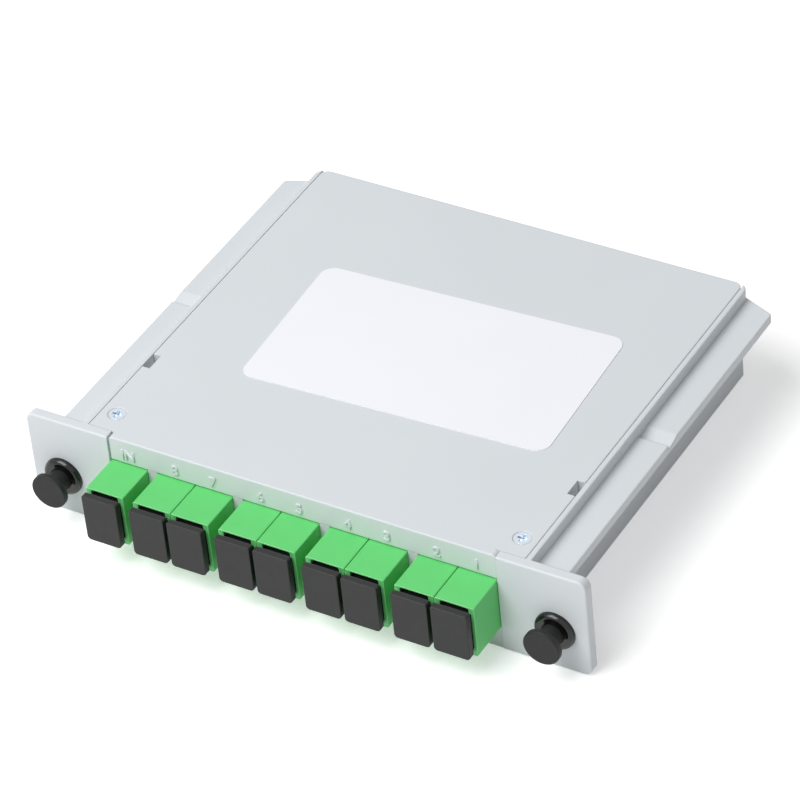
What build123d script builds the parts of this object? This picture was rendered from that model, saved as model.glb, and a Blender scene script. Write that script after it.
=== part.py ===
"""Plug-in fibre splitter card: a moulded tray with a front panel, nine port adapters and two latches.

X runs along the front panel and Y runs back from the panel's rear face, the plane that seats against
the chassis. Z is up from the underside. All lengths are in millimetres and all angles in degrees.
"""

import os

from build123d import *

os.makedirs("parts", exist_ok=True)

# Front panel
panel_width = 130.0
panel_height = 24.0
panel_thickness = 2.2
panel_corner = 2.0
panel_edge = 0.4
panel_recess = 0.35
sill_height = 5.6

# Tray and the rim around its top
tray_inset = 15.0
tray_depth = 95.0
tray_wall = 1.8
tray_floor = 1.8
tray_corner = 1.0
rim_overhang = 2.0
rim_wall = 1.15
rim_corner = 2.4
rim_edge = 0.35

# Rails along the tray's sides, with a ramped notch for the chassis spring
rail_reach = 6.9
rail_thickness = 1.9
rail_drop = 2.7
rail_end_setback = 3.8
rail_corner = 1.0
rail_edge = 0.3
notch_start = 44.5
notch_length = 3.9
notch_depth = 0.95

# Cover
cover_thickness = 1.8
cover_corner = 2.0
cover_edge = 0.25
cover_left_gap = 0.04
cover_right_gap = 0.16
cover_front_gap = 0.04
lip_height = 5.8
lip_gap = 0.1
lip_corner = 1.0
lip_edge = 0.3
lip_clearance = 0.25
lip_post_gap = 0.03
rib_width = 1.0
rib_height = 1.5
rib_gap = 0.2
rib_start = 12.0
pry_notch_width = 1.9
pry_notch_length = 4.4
pry_notch_start = 20.5

# Cover screws
screw_inset = 3.65
screw_setback = 5.2
screw_diameter = 2.0
screw_head_diameter = 3.8
screw_head_sink = 0.1
screw_length = 8.0
screw_recess_width = 0.6
screw_recess_length = 2.2
screw_recess_depth = 0.7
screw_gap = 0.05
countersink_angle = 90.0
boss_diameter = 4.2
boss_gap = 0.1
pilot_spare = 2.7

# Port adapters
least_group_gap = 2.0
port_side_gap = 0.15
slot_gap = 0.05
adapter_width = 8.85
adapter_gap = 0.15
adapter_length = 27.2
adapter_reach = 9.3
adapter_edge = 0.25
collar_overhang = 0.8
collar_thickness = 1.6
mouth_side_wall = 0.725
mouth_end_wall = 1.5
mouth_notch_width = 6.5
mouth_notch_wall = 0.3
mouth_notch_depth = 1.5
mouth_notch_corner = 0.4
keyway_width = 3.8
keyway_depth = 1.1
cradle_thickness = 1.6
cradle_gap = 0.1

# Latch insert and alignment sleeve inside each adapter
insert_gap = 0.05
insert_plate = 2.0
insert_tube_diameter = 4.4
insert_tube_length = 11.8
hook_thickness = 0.8
hook_width = 3.0
hook_length = 6.4
hook_barb = 0.35
hook_barb_length = 1.2
sleeve_diameter = 3.2
sleeve_bore = 2.5
sleeve_length = 11.4
sleeve_slot = 0.5
sleeve_gap = 0.025

# Connectors plugged into the adapters from inside the tray
ferrule_diameter = 2.46
ferrule_setback = 0.05
barrel_side_gap = 0.5
barrel_gap = 0.2
grip_side_gap = 0.1
grip_end_gap = 0.2
grip_edge = 0.4
grip_length = 16.5
grip_gap = 0.3
key_side_gap = 0.15
key_top_gap = 0.4
key_length = 9.0
boot_diameter = 5.0
boot_tip_diameter = 2.4
boot_length = 13.0

# Dust caps
cap_side_inset = 0.325
cap_end_inset = 0.5
cap_rise = 0.15
cap_head = 1.5
cap_standoff = 1.0
cap_top_corner = 0.4
cap_bottom_corner = 0.9
cap_edge = 0.2
plug_side_gap = 0.2
plug_end_gap = 0.3
plug_hook_gap = 1.4
plug_wall = 1.0

# Push and pull latches in the panel's ends
latch_offset = 7.5
latch_height = 9.7
latch_hole_diameter = 6.5
latch_gap = 0.05
latch_seat_depth = 1.3
latch_seat_gap = 0.3
flange_diameter = 8.9
flange_height = 1.4
flange_edge = 1.1
barb_height = 0.3
barb_length = 1.0
barb_gap = 0.1
collet_step = 0.25
collet_length = 7.0
collet_tip = 0.8
collet_slot = 0.6
collet_slot_start = 1.8
collet_slot_angle = 45.0
plunger_head_diameter = 8.1
plunger_head_thickness = 1.2
plunger_head_edge = 0.3
plunger_reach = 6.1
plunger_stop_gap = 0.1
plunger_neck_diameter = 4.8
plunger_neck_engagement = 0.3
plunger_neck_spare = 0.2
plunger_shaft_diameter = 3.9
plunger_length = 13.5
plunger_tip_length = 1.0
plunger_tip_diameter = 2.4
plunger_gap = 0.05

# Splitter module, its clips and its boots
module_width = 7.0
module_height = 4.0
module_edge = 0.5
module_lift = 2.2
module_boot_length = 6.0
module_boot_width = 5.0
module_boot_height = 3.4
module_boot_tip = 2.0
clip_inset = 10.0
clip_length = 6.0
clip_wall = 1.2
clip_gap = 0.1

# Stored fibre, wound in one hank around four curved guides
coil_side_gap = 2.2
coil_back_gap = 1.2
coil_front_gap = 12.7
coil_thickness = 4.0
coil_rise = 0.9
coil_edge = 0.8
guide_gap = 0.3
guide_wall = 1.2
guide_start_angle = 22.0
guide_arc = 58.0
tab_gap = 1.3
tab_reach = 3.5
tab_arc = 20.0
tab_thickness = 1.0

# Leads between the connectors, the hank and the module
fibre_diameter = 0.9
fibre_straight = 2.9
fibre_bend = 20.0
fibre_turn = 43.0
lead_room = 6.0
lead_straight = 1.0
lead_bend = 10.0
lead_turn = 40.0
ribbon_width = 2.4
ribbon_thickness = 0.4

# Label
label_width = 70.0
label_height = 39.0
label_thickness = 0.15
label_corner = 3.0
label_x = 3.2
label_y = 47.4
label_angle = 2.6

# Sizes and places worked out from the values above
tray_width = panel_width - 2 * tray_inset
inside_width = tray_width - 2 * tray_wall
inside_back = tray_depth - tray_wall
rim_width = tray_width + 2 * rim_overhang
rail_span = rim_width + 2 * rail_reach
rail_top = panel_height - rail_drop
rail_bottom = rail_top - rail_thickness
latch_spacing = tray_width + 2 * latch_offset
seat_height = panel_height - cover_thickness
seat_width = rim_width - 2 * rim_wall
cover_left = -seat_width / 2 + cover_left_gap
cover_right = seat_width / 2 - cover_right_gap
pry_notch_depth = cover_thickness + rib_height
screw_spacing = seat_width - 2 * screw_inset
ports_width = screw_spacing - boss_diameter - 2 * boss_gap
pair_width = 2 * adapter_width + adapter_gap
pair_count = int((ports_width - adapter_width) / (pair_width + least_group_gap))
port_groups = [1] + [2] * pair_count
port_count = sum(port_groups)
port_names = ["in"] + [str(number) for number in range(port_count - 1, 0, -1)]
group_gap = (ports_width - adapter_width) / pair_count - pair_width
opening_width = ports_width + 2 * port_side_gap
lip_bottom = panel_height - lip_height
lip_width = opening_width - 2 * lip_gap
lip_front = -panel_thickness + panel_recess
adapter_bottom = sill_height
adapter_top = lip_bottom - lip_clearance
adapter_height = adapter_top - adapter_bottom
adapter_front = -panel_thickness - adapter_reach
adapter_middle = adapter_front + adapter_length / 2
port_height = adapter_bottom + adapter_height / 2
mouth_width = adapter_width - 2 * mouth_side_wall
mouth_height = adapter_height - 2 * mouth_end_wall
cradle_front = collar_thickness + cradle_gap
cradle_back = cradle_front + cradle_thickness
insert_tube_back = adapter_middle + insert_tube_length / 2
hook_back = adapter_middle + insert_plate / 2 + hook_length
hook_front = adapter_middle - insert_plate / 2 - hook_length
barrel_diameter = mouth_width - 2 * (insert_gap + hook_thickness + hook_barb + barrel_side_gap)
grip_width = mouth_width - 2 * grip_side_gap
grip_height = mouth_height - 2 * grip_end_gap
grip_front = hook_back + grip_gap
grip_back = grip_front + grip_length
key_width = keyway_width - 2 * key_side_gap
key_top = mouth_height / 2 + keyway_depth - key_top_gap
boot_back = grip_back + boot_length
cap_width = adapter_width - 2 * cap_side_inset
cap_height = adapter_height - 2 * cap_end_inset
cap_back = adapter_front - cap_standoff
plug_width = mouth_width - 2 * plug_side_gap
plug_height = mouth_height - 2 * plug_end_gap
plug_back = hook_front - plug_hook_gap
pilot_diameter = screw_diameter + 2 * screw_gap
screw_top = panel_height - screw_head_sink
pilot_bottom = screw_top - screw_length - pilot_spare
countersink_diameter = screw_head_diameter + 2 * (screw_head_sink + screw_gap)
barb_diameter = latch_hole_diameter + 2 * barb_height
latch_seat_diameter = barb_diameter + 2 * latch_seat_gap
barb_start = -latch_seat_depth + barb_gap
collet_diameter = latch_hole_diameter - 2 * collet_step
flange_front = -panel_thickness - flange_height
plunger_front = -panel_thickness - plunger_reach
plunger_travel = flange_front - plunger_front - plunger_head_thickness - plunger_stop_gap
neck_back = flange_front + plunger_neck_engagement
neck_bore_back = neck_back + plunger_travel + plunger_neck_spare
latch_bore_diameter = plunger_shaft_diameter + 2 * plunger_gap
neck_bore_diameter = plunger_neck_diameter + 2 * plunger_gap
coil_length = inside_width - 2 * coil_side_gap
coil_front = boot_back + coil_front_gap
coil_width = inside_back - coil_back_gap - coil_front
coil_centre = coil_front + coil_width / 2
coil_top = port_height + coil_rise
coil_arc_spacing = coil_length - coil_width
tab_level = coil_top + tab_gap
module_length = coil_length - 2 * (coil_thickness + lead_room + module_boot_length)
module_bottom = tray_floor + module_lift
module_middle = module_bottom + module_height / 2
clip_spacing = module_length - 2 * clip_inset


def group_width(count):
    """Width of a group of adapters side by side."""
    return count * (adapter_width + adapter_gap) - adapter_gap


def group_places():
    """Middle and width of each group of adapters, from the left."""
    places = []
    left = -ports_width / 2
    for count in port_groups:
        width = group_width(count)
        places.append((left + width / 2, width))
        left += width + group_gap
    return places


def port_places():
    """Middle of each port, from the left."""
    places = []
    left = -ports_width / 2
    for count in port_groups:
        for index in range(count):
            places.append(left + adapter_width / 2 + index * (adapter_width + adapter_gap))
        left += group_width(count) + group_gap
    return places


def facing_front(depth):
    """Upright plane at a depth. A positive extrusion from it comes forward."""
    return Plane.XZ.offset(-depth)


def across_port(depth):
    """Upright plane centred on the port's axis. A positive extrusion from it comes forward."""
    return Plane(origin=(0, depth, port_height), x_dir=(1, 0, 0), z_dir=(0, -1, 0))


def across_latch(depth):
    """Upright plane centred on a latch's axis. A positive extrusion from it comes forward."""
    return Plane(origin=(0, depth, latch_height), x_dir=(1, 0, 0), z_dir=(0, -1, 0))


def write_piece(piece, name):
    """Label a finished piece and write its file."""
    piece.part.label = name
    export_step(piece.part, f"parts/{name}.step")


def write_at_ports(piece, stem):
    """Write one copy of a piece at each port."""
    for port, x in zip(port_names, port_places()):
        with BuildPart() as copy:
            with Locations((x, 0, 0)):
                add(piece.part)
        write_piece(copy, f"{stem}_{port}")


def write_at_latches(piece, stem):
    """Write one copy of a piece at each end of the panel."""
    for side, x in (("left", -latch_spacing / 2), ("right", latch_spacing / 2)):
        with BuildPart() as copy:
            with Locations((x, 0, 0)):
                add(piece.part)
        write_piece(copy, f"{stem}_{side}")


# Base: one moulding


def tray_block(width, corner, bottom, top):
    """Solid with the tray's plan, between two levels, with its rear corners rounded."""
    with BuildPart() as block:
        with BuildSketch(Plane.XY.offset(bottom)) as plan:
            with Locations((0, tray_depth / 2)):
                Rectangle(width, tray_depth)
            fillet(plan.vertices().group_by(Axis.Y)[-1], corner)
        extrude(amount=top - bottom)
    return block


def rim_block():
    """Rim that stands out around the tray's top, with its outer edge rounded."""
    rim = tray_block(rim_width, rim_corner, rail_bottom, panel_height)
    with BuildPart() as block:
        add(rim.part)
        fillet(block.edges().group_by(Axis.Z)[-1].sort_by(Axis.Y)[1:], rim_edge)
    return block


def rail_block():
    """Both rails as one plate, cut back at an angle at the rear."""
    rear = tray_depth - rail_end_setback
    with BuildPart() as block:
        with BuildSketch(Plane.XY.offset(rail_bottom)) as plan:
            with BuildLine():
                Polyline(
                    (0, 0),
                    (rail_span / 2, 0),
                    (rail_span / 2, rear),
                    (rim_width / 2 - rim_corner, tray_depth),
                    (0, tray_depth),
                    close=True,
                )
            make_face()
            mirror(about=Plane.YZ)
            fillet(plan.vertices().filter_by(lambda corner: abs(corner.Y - rear) < rail_corner), rail_corner)
        extrude(amount=rail_thickness)
        outline = block.edges().group_by(Axis.Z)[-1]
        fillet(outline.filter_by(lambda edge: 0 < edge.center().Y < tray_depth - rail_edge), rail_edge)
    return block


def panel_block():
    """Front panel with rounded corners and a softened front edge."""
    with BuildPart() as block:
        with BuildSketch(facing_front(0)):
            with Locations((0, panel_height / 2)):
                RectangleRounded(panel_width, panel_height, panel_corner)
        extrude(amount=panel_thickness)
        fillet(block.faces().sort_by(Axis.Y)[0].edges(), panel_edge)
    return block


def tray_hollow():
    """Inside of the tray and the seat for the cover above it."""
    with BuildPart() as hollow:
        with BuildSketch(Plane.XY.offset(tray_floor)):
            with Locations((0, inside_back / 2)):
                Rectangle(inside_width, inside_back)
        extrude(amount=panel_height)
        with BuildSketch(Plane.XY.offset(seat_height)):
            with Locations((0, tray_depth / 2)):
                Rectangle(seat_width, tray_depth)
        extrude(amount=panel_height)
    return hollow


def cradle_block():
    """Second wall behind the panel. The adapters' collars sit between the two."""
    with BuildPart() as block:
        with BuildSketch(facing_front(cradle_back)):
            with Locations((0, adapter_top / 2)):
                Rectangle(tray_width - tray_wall, adapter_top)
        extrude(amount=cradle_thickness)
    return block


def port_slots():
    """Open-topped slots for the adapters, and the room for the cover's lip above them."""
    with BuildPart() as slots:
        with BuildSketch(facing_front(cradle_back)):
            for middle, width in group_places():
                with Locations((middle, adapter_bottom)):
                    Rectangle(width + 2 * slot_gap, panel_height, align=(Align.CENTER, Align.MIN))
            with Locations((0, lip_bottom - lip_post_gap)):
                Rectangle(opening_width, panel_height, align=(Align.CENTER, Align.MIN))
        extrude(amount=cradle_back + panel_thickness)
        with BuildSketch(facing_front(-panel_thickness)):
            Rectangle(opening_width, panel_height, align=(Align.CENTER, Align.MIN))
        extrude(amount=-panel_recess)
    return slots


def latch_holes():
    """Round holes through the panel's ends, widened at the rear for the grommets' barbs."""
    places = [(-latch_spacing / 2, latch_height), (latch_spacing / 2, latch_height)]
    with BuildPart() as holes:
        with BuildSketch(facing_front(0)):
            with Locations(places):
                Circle(latch_hole_diameter / 2)
        extrude(amount=panel_thickness)
        with BuildSketch(facing_front(0)):
            with Locations(places):
                Circle(latch_seat_diameter / 2)
        extrude(amount=latch_seat_depth)
    return holes


def screw_boss_posts():
    """Posts for the cover's screws in the tray's front corners."""
    with BuildPart() as posts:
        with BuildSketch(Plane.XY):
            with Locations((-screw_spacing / 2, screw_setback), (screw_spacing / 2, screw_setback)):
                Circle(boss_diameter / 2)
        extrude(amount=seat_height)
    return posts


def screw_pilots():
    """Blind holes down the screw posts."""
    with BuildPart() as pilots:
        with BuildSketch(Plane.XY.offset(seat_height)):
            with Locations((-screw_spacing / 2, screw_setback), (screw_spacing / 2, screw_setback)):
                Circle(pilot_diameter / 2)
        extrude(amount=pilot_bottom - seat_height)
    return pilots


def pry_cuts(top, depth, outer):
    """Cuts in from the cover's sides, over a depth below one level."""
    inner = seat_width / 2 - pry_notch_width
    with BuildPart() as cuts:
        with BuildSketch(Plane.XY.offset(top)):
            for side in (-1, 1):
                with Locations((side * (inner + outer) / 2, pry_notch_start)):
                    Rectangle(outer - inner, pry_notch_length, align=(Align.CENTER, Align.MIN))
        extrude(amount=-depth)
    return cuts


def rail_notches():
    """Notch across the top of each rail: a step at the front and a ramp back up."""
    with BuildPart() as notches:
        for side in (-1, 1):
            with BuildSketch(Plane.YZ.offset(side * rim_width / 2)):
                with BuildLine():
                    Polyline(
                        (notch_start, rail_top + notch_depth),
                        (notch_start, rail_top - notch_depth),
                        (notch_start + notch_length, rail_top),
                        (notch_start + notch_length, rail_top + notch_depth),
                        close=True,
                    )
                make_face()
            extrude(amount=side * rail_span / 2)
    return notches


def arc_wall(centre, inner, outer, start, arc, level, height):
    """Curved wall between two radii."""
    with BuildPart() as wall:
        with BuildSketch(Plane.XY.offset(level)):
            with BuildLine():
                inside = CenterArc(centre, inner, start, arc)
                outside = CenterArc(centre, outer, start, arc)
                Line(inside @ 0, outside @ 0)
                Line(inside @ 1, outside @ 1)
            make_face()
        extrude(amount=height)
    return wall


def fibre_guides():
    """Four curved walls inside the hank, each with a tab that reaches over it."""
    outer = coil_width / 2 - coil_thickness - guide_gap
    inner = outer - guide_wall
    middle_angle = guide_start_angle + guide_arc / 2
    with BuildPart() as guides:
        for side in (-1, 1):
            centre = (side * coil_arc_spacing / 2, coil_centre)
            for angle in (middle_angle, -middle_angle):
                middle = angle if side > 0 else 180 - angle
                add(arc_wall(centre, inner, outer, middle - guide_arc / 2, guide_arc, 0, tab_level).part)
                tab = arc_wall(
                    centre, inner, outer + tab_reach, middle - tab_arc / 2, tab_arc, tab_level, tab_thickness
                )
                add(tab.part)
    return guides


def module_clips():
    """Two cradles that hold the splitter module off the floor."""
    with BuildPart() as clips:
        for x in (-clip_spacing / 2, clip_spacing / 2):
            with BuildSketch(Plane.XY):
                with Locations((x, coil_centre)):
                    Rectangle(clip_length, module_width + 2 * (clip_gap + clip_wall))
            extrude(amount=module_middle)
            with BuildSketch(Plane.XY.offset(module_bottom)):
                with Locations((x, coil_centre)):
                    Rectangle(clip_length, module_width + 2 * clip_gap)
            extrude(amount=module_height, mode=Mode.SUBTRACT)
    return clips


with BuildPart() as base:
    add(tray_block(tray_width, tray_corner, 0, panel_height - rim_edge).part)
    add(rim_block().part)
    add(rail_block().part)
    add(panel_block().part)
    add(tray_hollow().part, mode=Mode.SUBTRACT)
    add(cradle_block().part)
    add(screw_boss_posts().part)
    add(fibre_guides().part)
    add(module_clips().part)
    add(port_slots().part, mode=Mode.SUBTRACT)
    add(latch_holes().part, mode=Mode.SUBTRACT)
    add(screw_pilots().part, mode=Mode.SUBTRACT)
    add(pry_cuts(panel_height, pry_notch_depth, seat_width / 2).part, mode=Mode.SUBTRACT)
    add(rail_notches().part, mode=Mode.SUBTRACT)
write_piece(base, "base")


# Cover: one moulding with its lip, ribs and countersunk holes


def cover_plate():
    """Flat plate with rounded rear corners and a softened outline."""
    with BuildPart() as plate:
        with BuildSketch(Plane.XY.offset(seat_height)) as plan:
            with Locations(((cover_left + cover_right) / 2, (cover_front_gap + tray_depth) / 2)):
                Rectangle(cover_right - cover_left, tray_depth - cover_front_gap)
            fillet(plan.vertices().group_by(Axis.Y)[-1], cover_corner)
        extrude(amount=cover_thickness)
        fillet(plate.edges().group_by(Axis.Z)[-1].sort_by(Axis.Y)[1:], cover_edge)
    return plate


def cover_lip():
    """Lip that closes the front opening above the adapters."""
    with BuildPart() as lip:
        with BuildSketch(facing_front(0)) as outline:
            with Locations((0, (lip_bottom + panel_height) / 2)):
                Rectangle(lip_width, panel_height - lip_bottom)
            fillet(outline.vertices().group_by(Axis.Y)[-1], lip_corner)
        extrude(amount=-lip_front)
        front = lip.faces().sort_by(Axis.Y)[0].edges()
        fillet(front.filter_by(lambda edge: edge.center().Z > lip_bottom + lip_edge), lip_edge)
        with BuildSketch(facing_front(cradle_front)):
            with Locations((0, (seat_height + panel_height) / 2)):
                Rectangle(lip_width - 2 * lip_corner, cover_thickness)
        extrude(amount=cradle_front)
    return lip


def cover_ribs():
    """Ribs under the plate that locate it inside the tray."""
    outside = inside_width - 2 * rib_gap
    rear = inside_back - rib_gap
    with BuildPart() as ribs:
        with BuildSketch(Plane.XY.offset(seat_height)):
            with Locations((0, (rib_start + rear) / 2)):
                Rectangle(outside, rear - rib_start)
            with Locations((0, (rib_start + rear - rib_width) / 2)):
                Rectangle(outside - 2 * rib_width, rear - rib_width - rib_start, mode=Mode.SUBTRACT)
        extrude(amount=-rib_height)
    return ribs


with BuildPart() as cover:
    add(cover_plate().part)
    add(cover_lip().part)
    add(cover_ribs().part)
    add(pry_cuts(panel_height, cover_thickness, seat_width).part, mode=Mode.SUBTRACT)
    with Locations(Plane.XY.offset(panel_height)):
        with Locations((-screw_spacing / 2, screw_setback), (screw_spacing / 2, screw_setback)):
            CounterSinkHole(
                pilot_diameter / 2, countersink_diameter / 2, cover_thickness, countersink_angle
            )
write_piece(cover, "cover")


# Cover screws


with BuildPart() as screw:
    with BuildSketch(Plane.XZ):
        with BuildLine():
            cone = (screw_head_diameter - screw_diameter) / 2
            Polyline(
                (0, screw_top),
                (screw_head_diameter / 2, screw_top),
                (screw_diameter / 2, screw_top - cone),
                (screw_diameter / 2, screw_top - screw_length + screw_diameter / 2),
                (0, screw_top - screw_length),
                close=True,
            )
        make_face()
    revolve(axis=Axis.Z)
    with BuildSketch(Plane.XY.offset(screw_top)):
        Rectangle(screw_recess_length, screw_recess_width)
        Rectangle(screw_recess_width, screw_recess_length)
    extrude(amount=-screw_recess_depth, mode=Mode.SUBTRACT)

with BuildPart() as cover_screws:
    with Locations((-screw_spacing / 2, screw_setback), (screw_spacing / 2, screw_setback)):
        add(screw.part)
write_piece(cover_screws, "cover_screws")


# Label on the cover


with BuildPart() as label:
    with BuildSketch(Plane.XY.offset(panel_height)):
        with Locations(Location((label_x, label_y), label_angle)):
            RectangleRounded(label_width, label_height, label_corner)
    extrude(amount=label_thickness)
write_piece(label, "label")


# Port adapters


def keyed_mouth():
    """Section of the connector's way in, with the slot for its key on top."""
    with BuildSketch() as section:
        Rectangle(mouth_width, mouth_height)
        with Locations((0, mouth_height / 2)):
            Rectangle(keyway_width, 2 * keyway_depth)
    return section.sketch


with BuildPart() as adapter_housing:
    with BuildSketch(across_port(adapter_front)):
        Rectangle(adapter_width, adapter_height)
    extrude(amount=-adapter_length)
    fillet(adapter_housing.edges().filter_by(Axis.Y), adapter_edge)
    with BuildSketch(across_port(0)):
        Rectangle(adapter_width - 2 * adapter_edge, adapter_height + 2 * collar_overhang)
    extrude(amount=-collar_thickness)
    with BuildSketch(across_port(adapter_front)):
        add(keyed_mouth())
    extrude(amount=-adapter_length, mode=Mode.SUBTRACT)
    with BuildSketch(across_port(adapter_front)) as notch:
        Rectangle(
            mouth_notch_width, adapter_height / 2 - mouth_notch_wall, align=(Align.CENTER, Align.MIN)
        )
        fillet(notch.vertices().group_by(Axis.Y)[-1], mouth_notch_corner)
    extrude(amount=-mouth_notch_depth, mode=Mode.SUBTRACT)
write_at_ports(adapter_housing, "adapter_housing")


# Latch insert: a plate with a sleeve holder and two hooks each way


def hook():
    """Front hook on the right, with a barb on its inner side."""
    outer = mouth_width / 2 - insert_gap
    root = hook_front + hook_length
    with BuildPart() as finger:
        with BuildSketch(Plane.XY.offset(port_height - hook_width / 2)):
            with BuildLine():
                Polyline(
                    (outer, root),
                    (outer, hook_front),
                    (outer - hook_thickness, hook_front),
                    (outer - hook_thickness - hook_barb, hook_front + hook_barb_length),
                    (outer - hook_thickness, hook_front + hook_barb_length),
                    (outer - hook_thickness, root),
                    close=True,
                )
            make_face()
        extrude(amount=hook_width)
    return finger


with BuildPart() as latch_insert:
    with BuildSketch(across_port(adapter_middle + insert_plate / 2)):
        Rectangle(mouth_width - 2 * insert_gap, mouth_height - 2 * insert_gap)
    extrude(amount=insert_plate)
    with BuildSketch(across_port(insert_tube_back)):
        Circle(insert_tube_diameter / 2)
    extrude(amount=insert_tube_length)
    add(hook().part)
    mirror(hook().part, about=Plane.YZ)
    mirror(about=Plane.XZ.offset(-adapter_middle))
    with BuildSketch(across_port(insert_tube_back)):
        Circle(sleeve_diameter / 2 + sleeve_gap)
    extrude(amount=insert_tube_length, mode=Mode.SUBTRACT)
write_at_ports(latch_insert, "latch_insert")


# Split sleeves that line up the ferrules


with BuildPart() as alignment_sleeve:
    with BuildSketch(across_port(adapter_middle + sleeve_length / 2)):
        Circle(sleeve_diameter / 2)
        Circle(sleeve_bore / 2, mode=Mode.SUBTRACT)
        with Locations((0, sleeve_diameter / 2)):
            Rectangle(sleeve_slot, sleeve_diameter, mode=Mode.SUBTRACT)
    extrude(amount=sleeve_length)

with BuildPart() as alignment_sleeves:
    for port_x in port_places():
        with Locations((port_x, 0, 0)):
            add(alignment_sleeve.part)
write_piece(alignment_sleeves, "alignment_sleeves")


# Connectors plugged in from inside the tray


with BuildPart() as connector:
    with BuildSketch(across_port(grip_back)):
        Rectangle(grip_width, grip_height)
    extrude(amount=grip_length)
    fillet(connector.edges().filter_by(Axis.Y), grip_edge)
    with BuildSketch(across_port(grip_front + key_length)):
        Rectangle(key_width, key_top, align=(Align.CENTER, Align.MIN))
    extrude(amount=key_length)
    with BuildSketch(across_port(grip_front)):
        Circle(barrel_diameter / 2)
    extrude(amount=grip_front - insert_tube_back - barrel_gap)
    with BuildSketch(across_port(grip_front)):
        Circle(ferrule_diameter / 2)
    extrude(amount=grip_front - adapter_middle - ferrule_setback)
    with BuildSketch(across_port(grip_back)):
        Circle(boot_diameter / 2)
    with BuildSketch(across_port(boot_back)):
        Circle(boot_tip_diameter / 2)
    loft()
write_at_ports(connector, "connector")


# Dust caps


with BuildPart() as dust_cap:
    with BuildSketch(across_port(cap_back)) as head:
        with Locations((0, cap_rise)):
            Rectangle(cap_width, cap_height)
        fillet(head.vertices().group_by(Axis.Y)[-1], cap_top_corner)
        fillet(head.vertices().group_by(Axis.Y)[0], cap_bottom_corner)
    extrude(amount=cap_head)
    fillet(dust_cap.faces().sort_by(Axis.Y)[0].edges(), cap_edge)
    with BuildSketch(across_port(cap_back)):
        Rectangle(plug_width, plug_height)
        Rectangle(plug_width - 2 * plug_wall, plug_height - 2 * plug_wall, mode=Mode.SUBTRACT)
    extrude(amount=cap_back - plug_back)
write_at_ports(dust_cap, "dust_cap")


# Latches: a grommet that snaps into the panel and a plunger that slides in it


with BuildPart() as latch_grommet:
    with BuildSketch(across_latch(-panel_thickness)):
        Circle(flange_diameter / 2)
    extrude(amount=flange_height)
    fillet(latch_grommet.faces().sort_by(Axis.Y)[0].edges(), flange_edge)
    with BuildSketch(across_latch(barb_start)):
        Circle(latch_hole_diameter / 2 - latch_gap)
    extrude(amount=panel_thickness + barb_start)
    with BuildSketch(across_latch(barb_start)):
        Circle(barb_diameter / 2)
    with BuildSketch(across_latch(barb_start + barb_length)):
        Circle(collet_diameter / 2)
    loft()
    with BuildSketch(across_latch(collet_length)):
        Circle(collet_diameter / 2)
    extrude(amount=collet_length - barb_start - barb_length)
    chamfer(latch_grommet.faces().sort_by(Axis.Y)[-1].edges(), collet_tip)
    with BuildSketch(across_latch(neck_bore_back)):
        Circle(neck_bore_diameter / 2)
    extrude(amount=neck_bore_back - flange_front, mode=Mode.SUBTRACT)
    with BuildSketch(across_latch(collet_length)):
        Circle(latch_bore_diameter / 2)
    extrude(amount=collet_length - flange_front, mode=Mode.SUBTRACT)
    with BuildSketch(across_latch(collet_length)):
        with Locations(Location((0, 0), collet_slot_angle)):
            Rectangle(2 * flange_diameter, collet_slot)
            Rectangle(collet_slot, 2 * flange_diameter)
    extrude(amount=collet_length - collet_slot_start, mode=Mode.SUBTRACT)
write_at_latches(latch_grommet, "latch_grommet")

with BuildPart() as latch_plunger:
    with BuildSketch(across_latch(plunger_front + plunger_head_thickness)):
        Circle(plunger_head_diameter / 2)
    extrude(amount=plunger_head_thickness)
    fillet(latch_plunger.faces().sort_by(Axis.Y)[0].edges(), plunger_head_edge)
    with BuildSketch(across_latch(neck_back)):
        Circle(plunger_neck_diameter / 2)
    extrude(amount=neck_back - plunger_front - plunger_head_thickness)
    with BuildSketch(across_latch(plunger_front + plunger_length - plunger_tip_length)):
        Circle(plunger_shaft_diameter / 2)
    extrude(amount=plunger_length - plunger_tip_length - plunger_head_thickness)
    with BuildSketch(across_latch(plunger_front + plunger_length - plunger_tip_length)):
        Circle(plunger_shaft_diameter / 2)
    with BuildSketch(across_latch(plunger_front + plunger_length)):
        Circle(plunger_tip_diameter / 2)
    loft()
write_at_latches(latch_plunger, "latch_plunger")


# Splitter module and its boots


with BuildPart() as splitter_module:
    with BuildSketch(Plane.XY.offset(module_bottom)):
        with Locations((0, coil_centre)):
            Rectangle(module_length, module_width)
    extrude(amount=module_height)
    fillet(splitter_module.edges().filter_by(Axis.X), module_edge)
write_piece(splitter_module, "splitter_module")

with BuildPart() as module_boots:
    for end in (-1, 1):
        end_plane = Plane(origin=(end * module_length / 2, coil_centre, module_middle), z_dir=(end, 0, 0))
        with BuildSketch(end_plane):
            Rectangle(module_boot_height, module_boot_width)
        with BuildSketch(end_plane.offset(module_boot_length)):
            Rectangle(module_boot_height, module_boot_tip)
        loft()
write_piece(module_boots, "module_boots")


# Stored fibre


with BuildPart() as coil_outline:
    with BuildSketch(Plane.XY.offset(tray_floor)):
        with Locations((0, coil_centre)):
            SlotOverall(coil_length, coil_width)
    extrude(amount=coil_top - tray_floor)

with BuildPart() as fibre_coil:
    add(coil_outline.part)
    with BuildSketch(Plane.XY.offset(tray_floor)):
        with Locations((0, coil_centre)):
            SlotOverall(coil_length - 2 * coil_thickness, coil_width - 2 * coil_thickness)
    extrude(amount=coil_top - tray_floor, mode=Mode.SUBTRACT)
    fillet(fibre_coil.edges().group_by(Axis.Z)[-1], coil_edge)
write_piece(fibre_coil, "fibre_coil")


# Leads from the connectors and from the module into the hank


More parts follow.
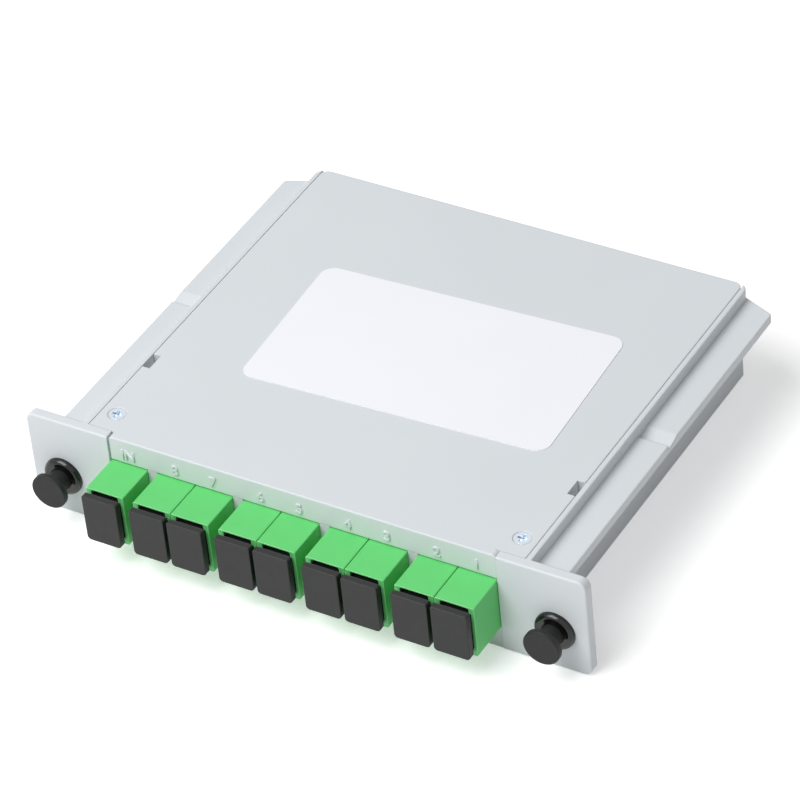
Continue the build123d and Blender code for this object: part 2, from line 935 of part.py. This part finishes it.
for port, port_x in zip(port_names, port_places()):
    turn = -fibre_turn if port_x < 0 else fibre_turn
    with BuildPart() as pigtail:
        with BuildLine(Plane.XY.offset(port_height)) as route:
            straight = Line((port_x, boot_back), (port_x, boot_back + fibre_straight))
            JernArc(straight @ 1, straight % 1, fibre_bend, turn)
        with BuildSketch(Plane(origin=(port_x, boot_back, port_height), z_dir=(0, 1, 0))):
            Circle(fibre_diameter / 2)
        sweep(path=route.line)
        add(coil_outline.part, mode=Mode.SUBTRACT)
    write_piece(pigtail, f"fibre_{port}")


def module_lead(side, width, height):
    """Lead from one end of the module, bent into the hank."""
    start = (side * (module_length / 2 + module_boot_length), coil_centre)
    with BuildPart() as lead:
        with BuildLine(Plane.XY.offset(module_middle)) as route:
            straight = Line(start, (start[0] + side * lead_straight, coil_centre))
            JernArc(straight @ 1, straight % 1, lead_bend, lead_turn)
        with BuildSketch(Plane(origin=(*start, module_middle), x_dir=(0, 1, 0), z_dir=(side, 0, 0))):
            if width == height:
                Circle(width / 2)
            else:
                Rectangle(width, height)
        sweep(path=route.line)
        add(fibre_coil.part, mode=Mode.SUBTRACT)
    return lead


write_piece(module_lead(1, fibre_diameter, fibre_diameter), "module_input_fibre")
write_piece(module_lead(-1, ribbon_thickness, ribbon_width), "module_output_ribbon")
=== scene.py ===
"""Looks of the plug-in fibre splitter card: materials, embossed port marks, stage, lights and camera."""

import math

import bpy
from mathutils import Matrix, Vector


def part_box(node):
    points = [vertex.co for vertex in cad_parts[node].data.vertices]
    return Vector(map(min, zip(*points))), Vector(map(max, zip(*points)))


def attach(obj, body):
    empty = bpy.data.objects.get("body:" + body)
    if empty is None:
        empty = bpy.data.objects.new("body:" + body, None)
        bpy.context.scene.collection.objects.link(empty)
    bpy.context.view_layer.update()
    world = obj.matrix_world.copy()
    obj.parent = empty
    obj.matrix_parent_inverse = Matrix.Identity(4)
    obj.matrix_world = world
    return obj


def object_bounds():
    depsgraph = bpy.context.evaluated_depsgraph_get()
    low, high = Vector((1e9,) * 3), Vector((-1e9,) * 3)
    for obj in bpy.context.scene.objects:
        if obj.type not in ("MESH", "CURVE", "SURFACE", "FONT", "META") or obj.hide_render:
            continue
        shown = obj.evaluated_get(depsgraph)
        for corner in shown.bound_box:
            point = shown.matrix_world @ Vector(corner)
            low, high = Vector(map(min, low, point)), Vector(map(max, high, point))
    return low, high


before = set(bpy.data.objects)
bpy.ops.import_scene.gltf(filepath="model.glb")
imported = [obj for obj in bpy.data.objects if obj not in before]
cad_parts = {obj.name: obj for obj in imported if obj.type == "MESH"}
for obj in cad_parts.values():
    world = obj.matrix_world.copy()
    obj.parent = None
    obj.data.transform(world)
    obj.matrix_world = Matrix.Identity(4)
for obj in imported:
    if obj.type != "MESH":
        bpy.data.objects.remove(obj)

cad_box = [list(corner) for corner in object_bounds()]

# Camera, in metres, turned by a fit to the photograph
CAMERA_PLACE = (0.410148, -0.577761, 0.613513)
CAMERA_RIGHT = (0.864998, 0.494707, -0.083923)
CAMERA_DOWN = (0.255562, -0.578284, -0.774775)
CAMERA_FORWARD = (-0.431818, 0.648731, -0.626643)
CAMERA_LENS_MM = 208.4
CAMERA_SENSOR_MM = 36.0
CAMERA_NEAR = 0.05
CAMERA_FAR = 20.0

# Embossed marks, in metres, and the share of a font's size that its capitals take
CAPITAL_SHARE = 0.7
MARK_HEIGHT = 0.0023
MARK_RELIEF = 0.00028
MARK_FOOT = 0.0011
MARK_STROKE = 0.0001
MARK_EDGE = 0.00006
MARK_EDGE_STEPS = 2

# Painted highlight along the edges of moulded pieces: cosine of the turn where they begin to pale, and
# where they are palest
EDGE_HIGHLIGHT_START = 0.99
EDGE_HIGHLIGHT_FULL = 0.8
EDGE_SAMPLES = 6

# Spread of a metal's roughness, either side of its own value
METAL_SMOOTHER = 0.05
METAL_ROUGHER = 0.07

# Light, floor and background, places and sizes in metres
KEY_PLACE = (-0.35, -0.52, 1.0)
KEY_TARGET = (0, 0.03, 0.01)
KEY_SIZE = 0.9
KEY_POWER = 13.2
SKY_STRENGTH = 0.3
FLOOR_SIZE = 6.0
FLOOR_DROP = 0.00005
FLOOR_COLOUR = 0.9
FLOOR_ROUGHNESS = 0.9
FLOOR_SPECULAR = 0.1
FLOOR_LIFT = 0.4


def srgb(red, green, blue):
    """Linear colour from 8-bit sRGB values."""
    parts = []
    for value in (red, green, blue):
        part = value / 255
        parts.append(part / 12.92 if part <= 0.04045 else ((part + 0.055) / 1.055) ** 2.4)
    return (*parts, 1.0)


class Shader:
    """A new material with a Principled shader, and short ways to add its detail."""

    def __init__(self, name, colour, roughness):
        self.material = bpy.data.materials.new(name)
        self.material.use_nodes = True
        self.tree = self.material.node_tree
        self.surface = self.tree.nodes["Principled BSDF"]
        self.surface.inputs["Base Color"].default_value = colour
        self.surface.inputs["Roughness"].default_value = roughness
        self.place = self.tree.nodes.new("ShaderNodeTexCoord").outputs["Object"]
        self.normal = None

    def link(self, source, target):
        """Join one socket to another."""
        self.tree.links.new(source, target)

    def noise(self, size, detail=2.0, stretch=(1, 1, 1)):
        """Noise whose features are about size metres across."""
        mapping = self.tree.nodes.new("ShaderNodeMapping")
        mapping.inputs["Scale"].default_value = stretch
        self.link(self.place, mapping.inputs["Vector"])
        texture = self.tree.nodes.new("ShaderNodeTexNoise")
        texture.inputs["Scale"].default_value = 1 / size
        texture.inputs["Detail"].default_value = detail
        self.link(mapping.outputs["Vector"], texture.inputs["Vector"])
        return texture.outputs["Fac"]

    def vary_colour(self, dark, light, size):
        """Base colour that drifts between two tones."""
        mix = self.tree.nodes.new("ShaderNodeMix")
        mix.data_type = "RGBA"
        mix.inputs["A"].default_value = dark
        mix.inputs["B"].default_value = light
        self.link(self.noise(size), mix.inputs["Factor"])
        self.link(mix.outputs["Result"], self.surface.inputs["Base Color"])

    def vary_roughness(self, low, high, size):
        """Roughness that drifts between two values."""
        spread = self.tree.nodes.new("ShaderNodeMapRange")
        spread.inputs["To Min"].default_value = low
        spread.inputs["To Max"].default_value = high
        self.link(self.noise(size, detail=4.0), spread.inputs["Value"])
        self.link(spread.outputs["Result"], self.surface.inputs["Roughness"])

    def soften_edges(self, radius):
        """Rounds sharp edges in the shading, by a radius in metres."""
        bevel = self.tree.nodes.new("ShaderNodeBevel")
        bevel.samples = EDGE_SAMPLES
        bevel.inputs["Radius"].default_value = radius
        self.normal = bevel.outputs["Normal"]
        self.link(self.normal, self.surface.inputs["Normal"])

    def paint_edge_highlight(self, light, radius):
        """Painted highlight: base colour that turns paler, towards light, along sharp edges, within a
        radius in metres.
        """
        colour = self.surface.inputs["Base Color"]
        bevel = self.tree.nodes.new("ShaderNodeBevel")
        bevel.samples = EDGE_SAMPLES
        bevel.inputs["Radius"].default_value = radius
        flat = self.tree.nodes.new("ShaderNodeNewGeometry").outputs["True Normal"]
        turn = self.tree.nodes.new("ShaderNodeVectorMath")
        turn.operation = "DOT_PRODUCT"
        self.link(bevel.outputs["Normal"], turn.inputs[0])
        self.link(flat, turn.inputs[1])
        # mask of the painted highlight, strongest where the shading normal turns away at an edge
        highlight_mask = self.tree.nodes.new("ShaderNodeMapRange")
        highlight_mask.inputs["From Min"].default_value = EDGE_HIGHLIGHT_START
        highlight_mask.inputs["From Max"].default_value = EDGE_HIGHLIGHT_FULL
        self.link(turn.outputs["Value"], highlight_mask.inputs["Value"])
        mix = self.tree.nodes.new("ShaderNodeMix")
        mix.data_type = "RGBA"
        self.link(colour.links[0].from_socket, mix.inputs["A"])
        mix.inputs["B"].default_value = light
        self.link(highlight_mask.outputs["Result"], mix.inputs["Factor"])
        self.link(mix.outputs["Result"], colour)

    def grain(self, height, depth, strength):
        """Fine relief from a height pattern, over the softened edges."""
        bump = self.tree.nodes.new("ShaderNodeBump")
        bump.inputs["Strength"].default_value = strength
        bump.inputs["Distance"].default_value = depth
        self.link(height, bump.inputs["Height"])
        if self.normal:
            self.link(self.normal, bump.inputs["Normal"])
        self.normal = bump.outputs["Normal"]
        self.link(self.normal, self.surface.inputs["Normal"])


def housing_plastic():
    """Pale grey moulded plastic with a fine spark-eroded grain."""
    shader = Shader("housing_plastic", srgb(217, 222, 226), 0.5)
    shader.vary_colour(srgb(214, 219, 223), srgb(219, 224, 228), size=0.03)
    shader.vary_roughness(0.44, 0.54, size=0.004)
    shader.soften_edges(radius=0.00025)
    shader.grain(shader.noise(0.00022, detail=3.0), depth=0.00002, strength=0.12)
    return shader.material


def adapter_plastic():
    """Satin green moulded plastic, with a painted highlight along its edges."""
    shader = Shader("adapter_plastic", srgb(98, 208, 114), 0.45)
    shader.vary_colour(srgb(94, 205, 110), srgb(102, 211, 118), size=0.006)
    # painted highlight: the sharp edges pale towards a light green
    shader.paint_edge_highlight(srgb(176, 250, 184), radius=0.0003)
    shader.vary_roughness(0.38, 0.5, size=0.002)
    shader.soften_edges(radius=0.0002)
    shader.grain(shader.noise(0.00018, detail=3.0), depth=0.00002, strength=0.1)
    return shader.material


def connector_plastic():
    """Green plastic of the inner connectors."""
    shader = Shader("connector_plastic", srgb(70, 160, 92), 0.4)
    shader.vary_roughness(0.34, 0.46, size=0.002)
    shader.grain(shader.noise(0.0002), depth=0.00002, strength=0.1)
    return shader.material


def cap_plastic():
    """Charcoal plastic with a matt grain, and a painted highlight along its edges."""
    shader = Shader("cap_plastic", srgb(28, 29, 28), 0.5)
    shader.vary_colour(srgb(25, 26, 25), srgb(32, 33, 32), size=0.003)
    # painted highlight: the sharp edges pale towards a mid grey
    shader.paint_edge_highlight(srgb(104, 106, 106), radius=0.00024)
    shader.vary_roughness(0.42, 0.56, size=0.0015)
    shader.surface.inputs["Specular IOR Level"].default_value = 0.4
    shader.soften_edges(radius=0.0001)
    shader.grain(shader.noise(0.00025, detail=3.0), depth=0.00003, strength=0.2)
    return shader.material


def grommet_plastic():
    """Black nylon with a smooth gloss."""
    shader = Shader("grommet_plastic", srgb(12, 12, 13), 0.1)
    shader.vary_roughness(0.07, 0.14, size=0.002)
    shader.soften_edges(radius=0.0003)
    shader.grain(shader.noise(0.0006), depth=0.00003, strength=0.1)
    return shader.material


def plunger_plastic():
    """Black nylon with a matt face."""
    shader = Shader("plunger_plastic", srgb(25, 26, 25), 0.5)
    shader.vary_colour(srgb(22, 23, 22), srgb(29, 30, 29), size=0.003)
    shader.vary_roughness(0.48, 0.62, size=0.0015)
    shader.surface.inputs["Specular IOR Level"].default_value = 0.35
    shader.soften_edges(radius=0.0003)
    shader.grain(shader.noise(0.0003, detail=3.0), depth=0.00003, strength=0.2)
    return shader.material


def label_paper():
    """Smooth white label stock with a faint cool tint."""
    shader = Shader("label_paper", srgb(246, 247, 253), 0.42)
    shader.vary_colour(srgb(244, 245, 252), srgb(248, 249, 255), size=0.02)
    shader.vary_roughness(0.36, 0.46, size=0.003)
    shader.grain(shader.noise(0.0004, detail=4.0), depth=0.00001, strength=0.1)
    return shader.material


def metal(name, colour, roughness, grain_size, stretch):
    """Metal with a fine directional grain."""
    shader = Shader(name, colour, roughness)
    shader.surface.inputs["Metallic"].default_value = 1.0
    shader.vary_roughness(roughness - METAL_SMOOTHER, roughness + METAL_ROUGHER, size=0.0008)
    shader.soften_edges(radius=0.0001)
    shader.grain(shader.noise(grain_size, stretch=stretch), depth=0.00001, strength=0.15)
    return shader.material


def insert_plastic():
    """Natural plastic of the latch inserts."""
    shader = Shader("insert_plastic", srgb(214, 214, 206), 0.5)
    shader.vary_roughness(0.44, 0.56, size=0.002)
    shader.grain(shader.noise(0.0003), depth=0.00002, strength=0.1)
    return shader.material


def ceramic():
    """Polished white ceramic."""
    shader = Shader("sleeve_ceramic", srgb(240, 240, 234), 0.15)
    shader.vary_roughness(0.1, 0.2, size=0.002)
    return shader.material


def boot_rubber():
    """Matt black rubber."""
    shader = Shader("boot_rubber", srgb(40, 40, 40), 0.7)
    shader.vary_roughness(0.62, 0.78, size=0.001)
    shader.grain(shader.noise(0.0003), depth=0.00003, strength=0.2)
    return shader.material


def fibre_jacket():
    """Smooth white tubing, ribbed along the turns of the hank."""
    shader = Shader("fibre_jacket", srgb(238, 238, 230), 0.35)
    wave = shader.tree.nodes.new("ShaderNodeTexWave")
    wave.bands_direction = "Z"
    wave.inputs["Scale"].default_value = 350.0
    shader.link(shader.place, wave.inputs["Vector"])
    shader.grain(wave.outputs["Fac"], depth=0.0002, strength=0.5)
    return shader.material


def dress(stem, material):
    """Give a material to each CAD node whose name starts with a stem."""
    for name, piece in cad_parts.items():
        if name.startswith(stem):
            piece.data.materials.clear()
            piece.data.materials.append(material)


def dress_all(housing):
    """Materials of all the CAD nodes."""
    dress("base", housing)
    dress("cover", housing)
    dress("cover_screws", metal("screw_zinc", srgb(214, 224, 234), 0.28, 0.0003, (1, 1, 1)))
    dress("label", label_paper())
    dress("adapter_housing", adapter_plastic())
    dress("latch_insert", insert_plastic())
    dress("connector", connector_plastic())
    dress("dust_cap", cap_plastic())
    dress("latch_grommet", grommet_plastic())
    dress("latch_plunger", plunger_plastic())
    dress("alignment_sleeves", ceramic())
    dress("splitter_module", metal("module_steel", srgb(200, 202, 205), 0.35, 0.0002, (0.05, 1, 1)))
    dress("module_boots", boot_rubber())
    fibres = fibre_jacket()
    dress("fibre", fibres)
    dress("module_input_fibre", fibres)
    dress("module_output_ribbon", fibres)


def emboss(text, x, material):
    """One raised mark on the front of the cover's lip, centred at x."""
    lip_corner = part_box("cover")[0]
    lip_front = lip_corner[1]
    foot = lip_corner[2] + MARK_FOOT
    curve = bpy.data.curves.new(f"mark_{text}", "FONT")
    curve.body = text
    curve.size = MARK_HEIGHT / CAPITAL_SHARE
    curve.align_x = "CENTER"
    curve.extrude = MARK_RELIEF - MARK_EDGE
    curve.offset = MARK_STROKE - MARK_EDGE
    curve.bevel_depth = MARK_EDGE
    curve.bevel_resolution = MARK_EDGE_STEPS
    letter = bpy.data.objects.new(f"mark_{text}_outline", curve)
    bpy.context.scene.collection.objects.link(letter)
    bpy.context.view_layer.update()
    mesh = bpy.data.meshes.new_from_object(letter.evaluated_get(bpy.context.evaluated_depsgraph_get()))
    bpy.data.objects.remove(letter)
    mesh.transform(Matrix.Rotation(math.radians(90), 4, "X"))
    mesh.transform(Matrix.Translation((x, lip_front, foot)))
    mark = bpy.data.objects.new(f"port_mark_{text}", mesh)
    bpy.context.scene.collection.objects.link(mark)
    mark.data.materials.append(material)
    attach(mark, "housing")


def emboss_ports(material):
    """Marks above the ports: the input, then the outputs by number."""
    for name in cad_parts:
        if name.startswith("adapter_housing_"):
            port = name.removeprefix("adapter_housing_")
            low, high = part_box(name)
            emboss(port.upper(), (low[0] + high[0]) / 2, material)


def direct_rays(tree):
    """1 for what the camera sees, itself or through gloss or glass, and 0 for other light."""
    path = tree.nodes.new("ShaderNodeLightPath")
    total = path.outputs["Is Camera Ray"]
    for ray in ("Is Glossy Ray", "Is Transmission Ray"):
        joined = tree.nodes.new("ShaderNodeMath")
        joined.operation = "MAXIMUM"
        tree.links.new(total, joined.inputs[0])
        tree.links.new(path.outputs[ray], joined.inputs[1])
        total = joined.outputs[0]
    return total


def floor_material():
    """Plain pale floor that goes white to the camera and keeps soft shadows."""
    material = bpy.data.materials.new("floor")
    material.use_nodes = True
    tree = material.node_tree
    surface = tree.nodes["Principled BSDF"]
    surface.inputs["Base Color"].default_value = (FLOOR_COLOUR, FLOOR_COLOUR, FLOOR_COLOUR, 1)
    surface.inputs["Roughness"].default_value = FLOOR_ROUGHNESS
    surface.inputs["Specular IOR Level"].default_value = FLOOR_SPECULAR
    surface.inputs["Emission Color"].default_value = (1, 1, 1, 1)
    lift = tree.nodes.new("ShaderNodeMath")
    lift.operation = "MULTIPLY"
    lift.inputs[1].default_value = FLOOR_LIFT
    tree.links.new(direct_rays(tree), lift.inputs[0])
    tree.links.new(lift.outputs[0], surface.inputs["Emission Strength"])
    return material


def set_stage():
    """Floor under the card."""
    bpy.ops.mesh.primitive_plane_add(size=FLOOR_SIZE, location=(0, 0, cad_box[0][2] - FLOOR_DROP))
    floor = bpy.context.object
    floor.name = "floor"
    floor.data.materials.append(floor_material())


def set_sky():
    """Even soft light from all round, white to the camera and in reflections."""
    world = bpy.data.worlds.new("studio")
    bpy.context.scene.world = world
    world.use_nodes = True
    tree = world.node_tree
    sky = tree.nodes["Background"]
    sky.inputs["Color"].default_value = (1, 1, 1, 1)
    seen = tree.nodes.new("ShaderNodeMath")
    seen.operation = "MAXIMUM"
    tree.links.new(direct_rays(tree), seen.inputs[0])
    seen.inputs[1].default_value = SKY_STRENGTH
    tree.links.new(seen.outputs[0], sky.inputs["Strength"])


def softbox(name, place, target, size, power):
    """Square area light that faces a point."""
    lamp = bpy.data.lights.new(name, "AREA")
    lamp.shape = "SQUARE"
    lamp.size = size
    lamp.energy = power
    light = bpy.data.objects.new(name, lamp)
    light.location = place
    light.rotation_euler = (Vector(target) - Vector(place)).to_track_quat("-Z", "Y").to_euler()
    bpy.context.scene.collection.objects.link(light)


def set_camera():
    """Camera where the photograph was taken from."""
    camera = bpy.data.cameras.new("camera")
    camera.lens = CAMERA_LENS_MM
    camera.sensor_width = CAMERA_SENSOR_MM
    camera.clip_start = CAMERA_NEAR
    camera.clip_end = CAMERA_FAR
    viewer = bpy.data.objects.new("camera", camera)
    right, up, back = (Vector(CAMERA_RIGHT), -Vector(CAMERA_DOWN), -Vector(CAMERA_FORWARD))
    turn = Matrix((right, up, back)).transposed().to_4x4()
    viewer.matrix_world = Matrix.Translation(CAMERA_PLACE) @ turn
    bpy.context.scene.collection.objects.link(viewer)
    bpy.context.scene.camera = viewer


housing = housing_plastic()
dress_all(housing)
emboss_ports(housing)
set_stage()
set_sky()
softbox("key", KEY_PLACE, KEY_TARGET, KEY_SIZE, KEY_POWER)
set_camera()
bpy.context.scene.view_settings.view_transform = "Standard"
